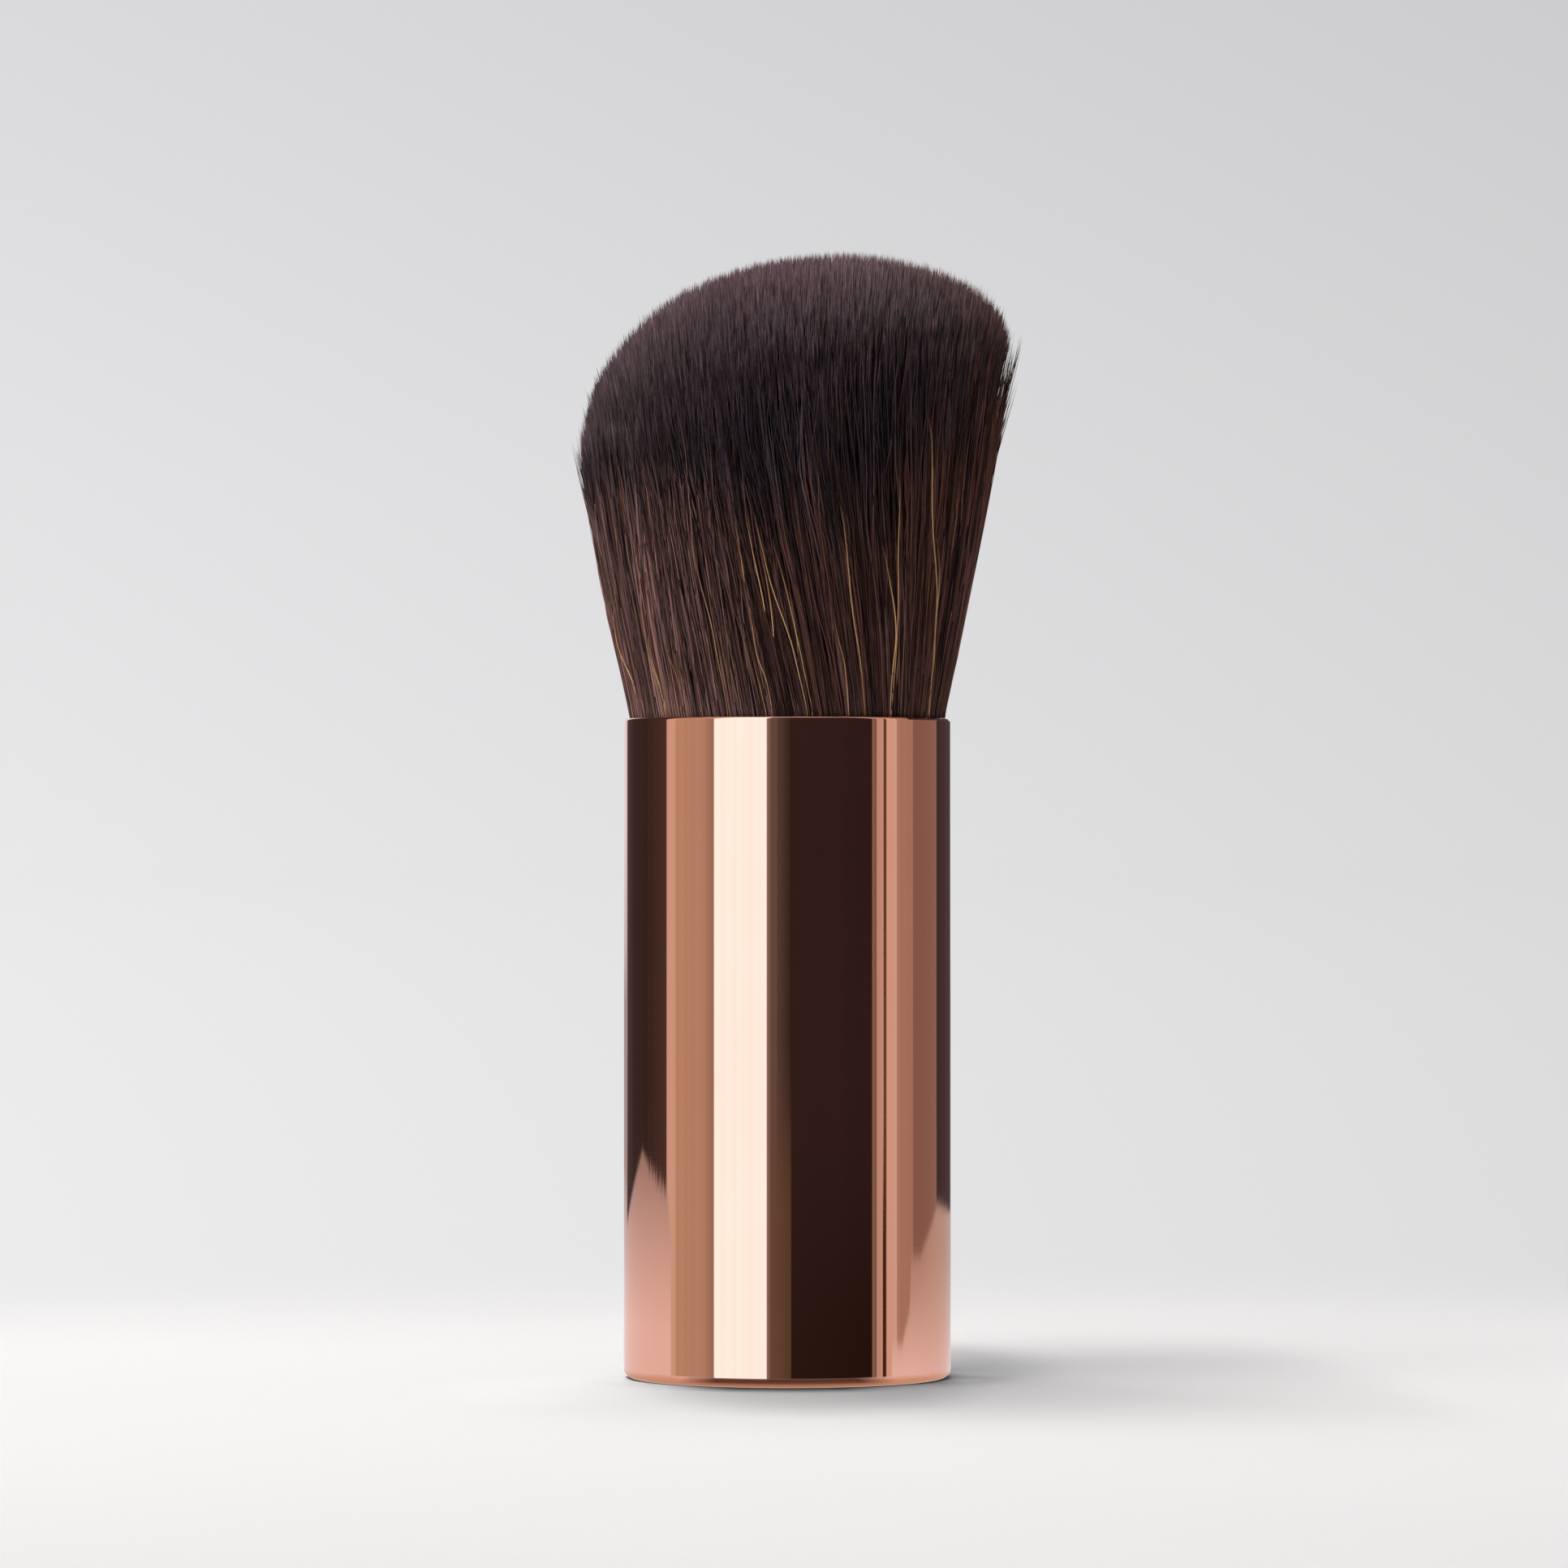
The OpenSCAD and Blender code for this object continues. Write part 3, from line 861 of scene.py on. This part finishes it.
def set_rays(obj, camera=True, diffuse=True, glossy=True, transmission=True,
             shadow=True):
    obj.visible_camera = camera
    obj.visible_diffuse = diffuse
    obj.visible_glossy = glossy
    obj.visible_transmission = transmission
    obj.visible_volume_scatter = False
    obj.visible_shadow = shadow


# Cards, drapes and a soft box that stand round the brush. Each goes from one azimuth to
# another: 0 is behind the camera, and negative is the camera's left. Then its light at
# either end.
CARDS = {
    "back_light": (172, 203, (0.82, 0.81, 0.83), (0.82, 0.81, 0.83)),
    "drape_left": (-157, -141, (0.08, 0.07, 0.08), (0.05, 0.04, 0.043)),
    "drape_fold": (-141, -118, (0.045, 0.035, 0.038), (0.040, 0.030, 0.032)),
    "drape_end": (-118, -95.5, (0.043, 0.032, 0.033), (0.070, 0.050, 0.046)),
    "copper_card": (-95.5, -86, (0.67, 0.57, 0.54), (0.70, 0.58, 0.52)),
    "gold_card": (-86, -60, (0.54, 0.43, 0.33), (0.50, 0.40, 0.32)),
    "gold_edge": (-60, -53.3, (0.43, 0.34, 0.28), (0.34, 0.26, 0.20)),
    "soft_box": (-53.3, -14.6, (1.35, 1.65, 1.86), (1.35, 1.68, 1.92)),
    "box_frame": (-14.6, -11.5, (0.30, 0.26, 0.27), (0.16, 0.14, 0.14)),
    "box_stand": (-11.5, -7.5, (0.13, 0.11, 0.105), (0.15, 0.125, 0.12)),
    "room_left": (-7.5, 2, (0.10, 0.085, 0.085), (0.045, 0.034, 0.035)),
    "room": (2, 62.8, (0.034, 0.023, 0.027), (0.032, 0.021, 0.023)),
    "door_edge": (62.8, 64.8, (0.30, 0.24, 0.20), (0.26, 0.20, 0.16)),
    "door_shade": (64.8, 66.3, (0.20, 0.14, 0.12), (0.24, 0.17, 0.14)),
    "copper_right": (66.3, 72.4, (0.58, 0.46, 0.43), (0.60, 0.49, 0.45)),
    "copper_seam": (72.4, 74.6, (0.10, 0.05, 0.03), (0.12, 0.07, 0.05)),
    "light_copper": (74.6, 84.4, (0.67, 0.57, 0.53), (0.73, 0.63, 0.60)),
    "pink_card": (84.4, 100.6, (0.45, 0.33, 0.30), (0.40, 0.29, 0.27)),
    "brown_card": (100.6, 132, (0.25, 0.17, 0.155), (0.29, 0.21, 0.19)),
    "drape_right": (132, 172, (0.05, 0.042, 0.048), (0.08, 0.07, 0.075)),
}
# what stands in front of them lower down: azimuths, heights where it ends and where it
# is whole, and its light
LOW_CARDS = {
    "bench_end": (-12.2, 2.6, 25, -5, (0.155, 0.115, 0.085), (0.105, 0.080, 0.055)),
    "bench_top": (2.6, 62.5, 20, -30, (0.026, 0.016, 0.015), (0.021, 0.012, 0.010)),
    "seam_low": (71.6, 74.0, 15, -10, (0.07, 0.03, 0.015), (0.05, 0.02, 0.01)),
}


def on_drum(a):
    """The cards' azimuths say where they show across the shell, as sin(a / 2) of its
    half width. This gives the azimuth on the drum, for the camera's own distance."""
    s = math.sin(math.radians(a) / 2)
    psi = math.asin(s)
    for _ in range(20):
        psi = math.asin(max(-1, min(1, s * (1 - 0.02125 * math.cos(psi)))))
    return math.degrees(2 * psi) - 0.92 * math.sin(psi)


def floor_line(az):
    """Height at which the drapes and cards end and the floor shows under them, at each
    azimuth, in millimetres on the drum. Far below where they hide the floor."""
    knots = [(-180, 40), (-158, 40), (-157, -5.5), (-125, 6.6), (-110, 3), (-95, 0.5),
             (-92.5, -3), (-91, -9), (-90.5, -900), (78.5, -900), (79.5, -23.5),
             (89, -24), (97, -18.5), (98.5, -10), (109, -10), (126, -4.5), (133, -2),
             (161, -3.5), (171, -3.5), (172, 40), (180, 40)]
    x, y = zip(*knots)
    return float(np.interp(az, x, y))


def only_reflected(n):
    """1 for what the camera sees in the shell, 0 for light that the shell throws on
    the floor and the fibres."""
    depth = n.add("LightPath").outputs["Diffuse Depth"]
    return n.math("LESS_THAN", depth, 0.5)


def studio_drum():
    """The cards as one drum of light, which only reflections see, with a painted image of the
    floor below them.
    """
    rng = np.random.default_rng(3)
    r = 450.0
    az = np.arange(-180.0, 180.01, 0.4)
    zs = np.concatenate([np.linspace(-620, -70, 23), np.linspace(-60, 30, 91),
                         np.linspace(40, 800, 39)])
    ripple = np.interp(az, np.linspace(-180, 180, 120), rng.uniform(0.95, 1.05, 120))
    edge = rng.uniform(-1.0, 1.0, len(az))

    def light(cards, tone, share):
        for a0, a1, *rest in cards.values():
            c0, c1 = rest[-2:]
            f = np.mod(az - a0, 360.0) / (a1 - a0)
            on = f < 1.0
            tone[on] = (np.array(c0) * (1 - f[:, None]) + np.array(c1) * f[:, None])[on]
            if len(rest) == 4:
                share[on] = 1 - smooth(rest[1], rest[0], zs)[None]
        return tone

    high = light(CARDS, np.full((len(az), 3), 0.04), None) * ripple[:, None]
    share = np.zeros((len(az), len(zs)))
    low = light(LOW_CARDS, high.copy(), share)
    line = np.array([floor_line(a) for a in az])
    grain = (az > -116) & (az < -95)
    line[grain] += 1.4 * edge[grain]
    right = smooth(95, 135, az)
    # the drum's painted image of the floor is lighter towards the brush
    z = zs[None, :, None]
    right = right[:, None, None]
    upper = np.array([0.48, 0.38, 0.345]) * (1 - right) + np.array([0.53, 0.47, 0.45]) * right
    lower = np.array([0.86, 0.82, 0.86]) * (1 - right) + np.array([0.81, 0.75, 0.79]) * right
    nearer = np.clip((-9 - z) / 19, 0, 1) ** 1.3
    beside = np.clip((4 - z) / 26, 0, 1) ** 0.85
    ground = np.where(az[:, None, None] < 0,
                      np.array([0.40, 0.35, 0.35]) * (1 - beside)
                      + np.array([0.87, 0.79, 0.82]) * beside,
                      upper * (1 - nearer) + lower * nearer)
    tone = high[:, None] * (1 - share[..., None]) + low[:, None] * share[..., None]
    tone = tone * (1.0 + 0.08 * smooth(-40, 300, z))
    f = 1 - smooth(-0.9, 0.9, zs[None] - line[:, None])
    cols = tone * (1 - f[..., None]) + ground * f[..., None]
    # further down, the drum shows a painted image of the floor nearer the brush, with a
    # painted dull reflection of the cards
    down = 0.85 * smooth(45, 150, -z)
    floor = 0.60 * np.array([0.80, 0.77, 0.78]) + 0.40 * np.minimum(high, 1.3)[:, None]
    cols = cols * (1 - down) + floor * down
    ang = np.radians([on_drum(a) for a in az])
    verts = np.stack([
        np.broadcast_to(r * np.sin(ang)[:, None], share.shape),
        np.broadcast_to(-r * np.cos(ang)[:, None], share.shape),
        np.broadcast_to(zs[None], share.shape)], -1).reshape(-1, 3) * MM
    cols = np.concatenate([cols, np.ones((*share.shape, 1))], -1).reshape(-1, 4)
    na, nz = share.shape
    faces = []
    for i in range(na):
        j = (i + 1) % na
        for q in range(nz - 1):
            faces.append((i * nz + q, j * nz + q, j * nz + q + 1, i * nz + q + 1))
    me = bpy.data.meshes.new("studio_drum")
    me.from_pydata(verts.tolist(), [], faces)
    attr = me.color_attributes.new("tone", "FLOAT_COLOR", "POINT")
    attr.data.foreach_set("color", cols.astype(np.float32).ravel())
    obj = bpy.data.objects.new("studio_drum", me)
    scene.collection.objects.link(obj)
    n = Nodes("studio_light")
    c = n.add("Attribute", attribute_name="tone").outputs["Color"]
    e = n.add("Emission")
    n.link(c, e.inputs["Color"])
    n.link(only_reflected(n), e.inputs["Strength"])
    n.link(e.outputs[0], n.out.inputs["Surface"])
    me.materials.append(n.mat)
    set_rays(obj, False, False, True, False, False)
    return obj


def studio_lid():
    """Pale ceiling above the drum, seen only in reflections."""
    me = bpy.data.meshes.new("studio_lid")
    seg = 64
    pts = [(0.45 * math.cos(2 * math.pi * i / seg), 0.45 * math.sin(2 * math.pi * i / seg),
            0.8) for i in range(seg)]
    me.from_pydata(pts, [], [tuple(range(seg))])
    obj = bpy.data.objects.new("studio_lid", me)
    scene.collection.objects.link(obj)
    n = Nodes("studio_ceiling")
    e = n.add("Emission")
    e.inputs["Color"].default_value = (1.0, 0.98, 0.97, 1)
    n.link(n.math("MULTIPLY", only_reflected(n), 0.9), e.inputs["Strength"])
    n.link(e.outputs[0], n.out.inputs["Surface"])
    me.materials.append(n.mat)
    set_rays(obj, False, False, True, False, False)
    return obj


HORIZON = (0.785, 0.778, 0.79)


def sideways_tone(n, q):
    """The backdrop is a little lighter on the left than on the right."""
    return n.span(q, -0.1, 0.1, 1.035, 0.895)


def floor_material():
    """Pale matt floor near the brush, with painted shadow and painted light round the foot,
    which runs into the backdrop's own tone far off.
    """
    n = Nodes("studio_floor")
    pos = n.position()
    length = n.add("VectorMath", operation="LENGTH")
    n.link(pos, length.inputs[0])
    far = length.outputs["Value"]
    sep = n.add("SeparateXYZ")
    n.link(pos, sep.inputs[0])
    q = n.math("DIVIDE", sep.outputs[0], n.math("ADD", far, 0.8))
    d = n.add("BsdfDiffuse")
    pale = n.mix(n.span(n.noise(9.0, 2.0, 0.5, pos), 0.3, 0.7, 0.0, 1.0),
                 (0.545, 0.544, 0.55, 1), (0.556, 0.554, 0.559, 1))

    def painted_shade_and_light_spot(x, y, long, full, none, by):
        """Painted shade, where by is below 0, and painted light, where it is above 0, round a
        place on the floor, in millimetres.
        """
        m = n.add("Mapping")
        m.inputs["Scale"].default_value = (1 / MM, 1 / MM / long, 0)
        m.inputs["Location"].default_value = (-x, -y / long, 0)
        n.link(pos, m.inputs["Vector"])
        size = n.add("VectorMath", operation="LENGTH")
        n.link(m.outputs["Vector"], size.inputs[0])
        r = n.add("MapRange", interpolation_type="SMOOTHSTEP")
        n.link(size.outputs["Value"], r.inputs["Value"])
        for k, v in (("From Min", full), ("From Max", none), ("To Min", by),
                     ("To Max", 0.0)):
            r.inputs[k].default_value = v
        return r.outputs[0]

    # painted shadow: the floor is dullest in front of the foot and behind it on the right, and
    # painted light lifts it on the left front and just right of the foot
    level = n.math("ADD", 1.0, painted_shade_and_light_spot(2.6, -12, 2.5, 9, 20.5, -0.25))
    level = n.math("ADD", level, painted_shade_and_light_spot(16, 24, 2.5, 4, 16, -0.26))
    level = n.math("ADD", level, painted_shade_and_light_spot(-24, -20, 2.0, 4, 16, 0.045))
    level = n.math("ADD", level, painted_shade_and_light_spot(16.2, -4, 1.0, 0.5, 5.5, 0.60))
    level = n.math("ADD", level, painted_shade_and_light_spot(16.5, 3, 1.3, 0.5, 8.0, 0.30))
    # darker towards the back, from 0.05 m to 0.15 m behind the brush
    level = n.math("MULTIPLY", level, n.span(sep.outputs[1], 0.05, 0.15, 1.0, 0.93))
    # painted shadow: a dark contact line on the floor just in front of the foot, fading out
    # towards either end
    line = n.math("MULTIPLY", n.span(far, 0.0180, 0.0238, 0.80, 0.0),
                  n.span(sep.outputs[1], -0.011, -0.004, 1.0, 0.0))
    line = n.math("MULTIPLY", line, n.span(sep.outputs[0], 0.006, 0.012, 1.0, 0.0))
    line = n.math("MULTIPLY", line, n.span(sep.outputs[0], -0.0125, -0.006, 0.12, 1.0))
    level = n.math("MULTIPLY", level, n.math("SUBTRACT", 1.0, line))
    grey = n.add("CombineXYZ")
    for k in range(3):
        n.link(level, grey.inputs[k])
    n.link(n.mix(1.0, pale, grey.outputs[0], "MULTIPLY"), d.inputs["Color"])
    e = n.add("Emission")
    n.link(n.ramp(n.math("POWER", n.span(far, 0.0, 12.0, 0.0, 1.0), 0.5),
                  [(0.0, (0.825, 0.818, 0.825)), (0.30, (0.812, 0.805, 0.813)),
                   (0.6, (0.80, 0.792, 0.802)), (1.0, HORIZON)]), e.inputs["Color"])
    n.link(sideways_tone(n, q), e.inputs["Strength"])
    s = n.add("MixShader")
    fade = n.add("MapRange", interpolation_type="SMOOTHSTEP")
    from_front = n.add("VectorMath", operation="DISTANCE")
    n.link(pos, from_front.inputs[0])
    from_front.inputs[1].default_value = (0.0, -0.15, 0.0)
    n.link(from_front.outputs["Value"], fade.inputs["Value"])
    fade.inputs["From Min"].default_value = 0.21
    fade.inputs["From Max"].default_value = 0.40
    n.link(fade.outputs[0], s.inputs[0])
    n.link(d.outputs[0], s.inputs[1])
    n.link(e.outputs[0], s.inputs[2])
    n.link(s.outputs[0], n.out.inputs["Surface"])
    return n.mat


def disc(name, radius, height=0.0, seg=128):
    pts = [(radius * math.cos(2 * math.pi * i / seg), radius * math.sin(2 * math.pi * i / seg),
            height) for i in range(seg)]
    me = bpy.data.meshes.new(name)
    me.from_pydata(pts, [], [tuple(range(seg))])
    me.update()
    obj = bpy.data.objects.new(name, me)
    scene.collection.objects.link(obj)
    return obj


def studio_floor():
    """The floor, and the patch of it that the shell's foot reflects: a painted reflection that
    glows and is seen only in reflections, with painted copper bounce light by the foot and a
    painted contact shadow in front.
    """
    wide = disc("floor_wide", 30.0)
    wide.data.materials.append(floor_material())
    set_rays(wide, glossy=False)
    n = Nodes("floor_patch_painted_reflection")
    length = n.add("VectorMath", operation="LENGTH")
    n.link(n.position(), length.inputs[0])
    fade = n.add("MapRange", interpolation_type="SMOOTHSTEP")
    n.link(length.outputs["Value"], fade.inputs["Value"])
    fade.inputs["From Min"].default_value = 0.018
    fade.inputs["From Max"].default_value = 0.0245
    e = n.add("Emission")
    near = n.span(length.outputs["Value"], 0.016, 0.024, 0.0, 1.0)
    sep = n.add("SeparateXYZ")
    n.link(n.position(), sep.inputs[0])
    # painted reflection: in front, a dark ring of painted contact shadow under a thin copper
    # rim; elsewhere painted copper bounce light by the foot that fades to the pale floor
    front = n.span(n.math("DIVIDE", sep.outputs[1], length.outputs["Value"]),
                   -0.885, -0.73, 1.0, 0.0)
    ring = n.ramp(near, [(0.0, (0.54, 0.39, 0.29)), (0.07, (0.50, 0.36, 0.27)),
                         (0.14, (0.16, 0.095, 0.070)), (0.30, (0.085, 0.052, 0.040)),
                         (1.0, (0.045, 0.030, 0.028))])
    painted_floor_image = n.ramp(near, [(0.0, (0.56, 0.40, 0.30)), (0.12, (0.66, 0.49, 0.40)),
                          (0.20, (0.74, 0.58, 0.50)),
                          (0.35, (0.80, 0.70, 0.68)), (1.0, (0.86, 0.80, 0.81))])
    n.link(n.mix(front, painted_floor_image, ring), e.inputs["Color"])
    n.link(only_reflected(n), e.inputs["Strength"])
    t = n.add("BsdfTransparent")
    s = n.add("MixShader")
    n.link(fade.outputs[0], s.inputs[0])
    n.link(e.outputs[0], s.inputs[1])
    n.link(t.outputs[0], s.inputs[2])
    n.link(s.outputs[0], n.out.inputs["Surface"])
    patch = disc("floor_patch_painted_reflection", 0.033, 0.00005)
    patch.data.materials.append(n.mat)
    set_rays(patch, False, False, True, False, False)


def studio_world():
    """Soft backdrop for the camera. Its light is strongest from the upper left."""
    scene.world = bpy.data.worlds.new("studio_air")
    n = Nodes("studio_air", scene.world)
    way = n.add("TexCoord").outputs["Generated"]
    sep = n.add("SeparateXYZ")
    n.link(way, sep.inputs[0])
    seen = n.add("Background")
    n.link(n.ramp(sep.outputs[2], [(0.0, HORIZON), (0.047, (0.745, 0.738, 0.752)),
                                   (0.11, (0.680, 0.676, 0.690)),
                                   (0.6, (0.60, 0.60, 0.61))]), seen.inputs["Color"])
    n.link(sideways_tone(n, sep.outputs[0]), seen.inputs["Strength"])
    dot = n.add("VectorMath", operation="DOT_PRODUCT")
    n.link(way, dot.inputs[0])
    dot.inputs[1].default_value = Vector((-0.78, 0.18, 0.60)).normalized()
    lit = n.add("Background")
    lit.inputs["Color"].default_value = (1.0, 0.985, 0.98, 1)
    n.link(n.span(dot.outputs["Value"], -0.45, 1.0, 0.09, 0.73), lit.inputs["Strength"])
    mix = n.add("MixShader")
    n.link(n.add("LightPath").outputs["Is Camera Ray"], mix.inputs[0])
    n.link(lit.outputs[0], mix.inputs[1])
    n.link(seen.outputs[0], mix.inputs[2])
    n.link(mix.outputs[0], n.out.inputs["Surface"])


def area(name, where, aim, size, watts, colour=(1, 1, 1), size_y=None, turn=0.0):
    data = bpy.data.lights.new(name, "AREA")
    data.shape = "RECTANGLE" if size_y else "SQUARE"
    data.size = size
    if size_y:
        data.size_y = size_y
    data.energy = watts
    data.color = colour
    obj = bpy.data.objects.new(name, data)
    scene.collection.objects.link(obj)
    obj.location = where
    facing = (Vector(aim) - Vector(where)).to_track_quat("-Z", "Y").to_matrix()
    obj.rotation_euler = (Matrix.Rotation(math.radians(turn), 3, "Z") @ facing).to_euler()
    obj.visible_camera = False
    obj.visible_glossy = False
    return obj


def studio_lights():
    # one long strip overhead, to the left of the brush and square to the view, and a
    # lamp overhead behind it
    area("strip", (-0.217, 0.055, 0.76), (0, 0.055, 0.05), 0.74, 4.3, (1.0, 0.985, 0.97),
         0.03, 7.0)
    area("back", (-0.05, 0.25, 0.80), (0, 0, 0.05), 0.26, 2.7, (1.0, 0.985, 0.975))
    area("key", (-0.35, -0.30, 0.72), (0, 0, 0.07), 0.5, 2.6, (1.0, 0.975, 0.955))


def camera():
    data = bpy.data.cameras.new("photo_view")
    data.sensor_width = 36.0
    data.lens = 176.48
    data.shift_y = -0.00033
    data.clip_start, data.clip_end = 0.01, 100.0
    cam = bpy.data.objects.new("photo_view", data)
    scene.collection.objects.link(cam)
    cam.location = (-0.00035, -0.8, 0.05466)
    aim = Vector((-0.00035, 0.0, 0.06176))
    cam.rotation_euler = (aim - cam.location).to_track_quat("-Z", "Y").to_euler()
    scene.camera = cam


# ---------------------------------------------------------------- put together

camera()
shell = metal_shell()
for node, mat in {
    "handle_shell": shell,
    "weight_tape": plain_moulded("foam_tape", (0.85, 0.85, 0.82), 0.9, 2500.0),
    "base_weight": plain_moulded("steel_slug", (0.55, 0.56, 0.58), 0.35, 1500.0, 1.0),
    "core_body": plain_moulded("moulded_core", (0.72, 0.71, 0.67), 0.55),
    "core_lid": plain_moulded("moulded_lid", (0.70, 0.69, 0.65), 0.55),
    "ferrule_cup": plain_moulded("aluminium_cup", (0.80, 0.81, 0.83), 0.30, 1500.0, 1.0),
    "root_resin": plain_moulded("potting_resin", (0.70, 0.52, 0.26), 0.25, 400.0),
    "binding_thread": plain_moulded("binding_yarn", (0.78, 0.76, 0.72), 0.8, 4000.0),
    "rim_seal_bead": plain_moulded("sealant", (0.60, 0.61, 0.62), 0.45, 1200.0),
}.items():
    give(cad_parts[node], mat)

build_core()
build_tuft()
build_amber()

studio_drum()
studio_lid()
studio_floor()
studio_world()
studio_lights()

bpy.context.view_layer.update()
